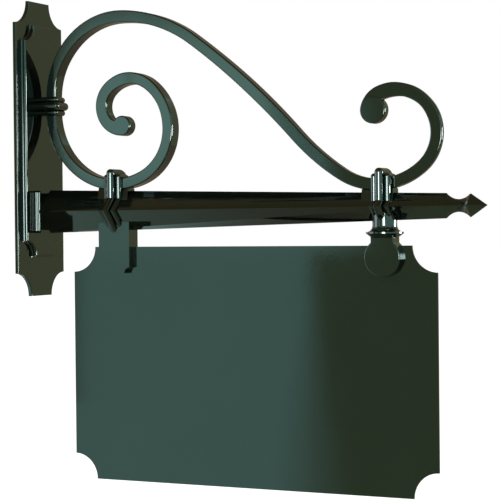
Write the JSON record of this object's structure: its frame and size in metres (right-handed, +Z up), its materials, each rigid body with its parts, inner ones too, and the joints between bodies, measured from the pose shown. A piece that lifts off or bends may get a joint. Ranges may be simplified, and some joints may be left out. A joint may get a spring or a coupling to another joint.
{
  "type": "projecting sign",
  "caption": "Wall bracket with scooped back plate, tapered square arm, S-scroll and two clasping hangers that carry a flat sign panel at right angles to the wall.",
  "frame": {"origin": "centre of the wall plate's back face, on the wall", "axes": "+X out from the wall along the arm, +Y across the wall plate, +Z up"},
  "size_m": [0.618, 0.108, 0.6204],
  "materials": {
    "green_paint": "high gloss dark green",
    "panel_paint": "high gloss dark green",
    "steel": "satin"
  },
  "bodies": {
    "root": {"back_plate": "green_paint", "raised_panel": "green_paint", "raised_panel_screws": "steel", "arm_rosette": "green_paint", "arm": "green_paint", "arm_point": "green_paint", "arm_bolt": "steel", "arm_dowel": "steel", "scroll": "green_paint", "inner_saddle": "green_paint", "outer_saddle": "green_paint", "scroll_screws": "steel", "wall_block": "green_paint", "wall_scroll_screw": "steel", "wall_clip_front": "green_paint", "wall_clip_rear": "green_paint", "wall_clip_screws": "steel", "inner_hanger_front": "green_paint", "inner_hanger_rear": "green_paint", "inner_hanger_screws": "steel", "outer_hanger_front": "green_paint", "outer_hanger_rear": "green_paint", "outer_hanger_screws": "steel", "sign_panel": "panel_paint"}
  },
  "joints": []
}
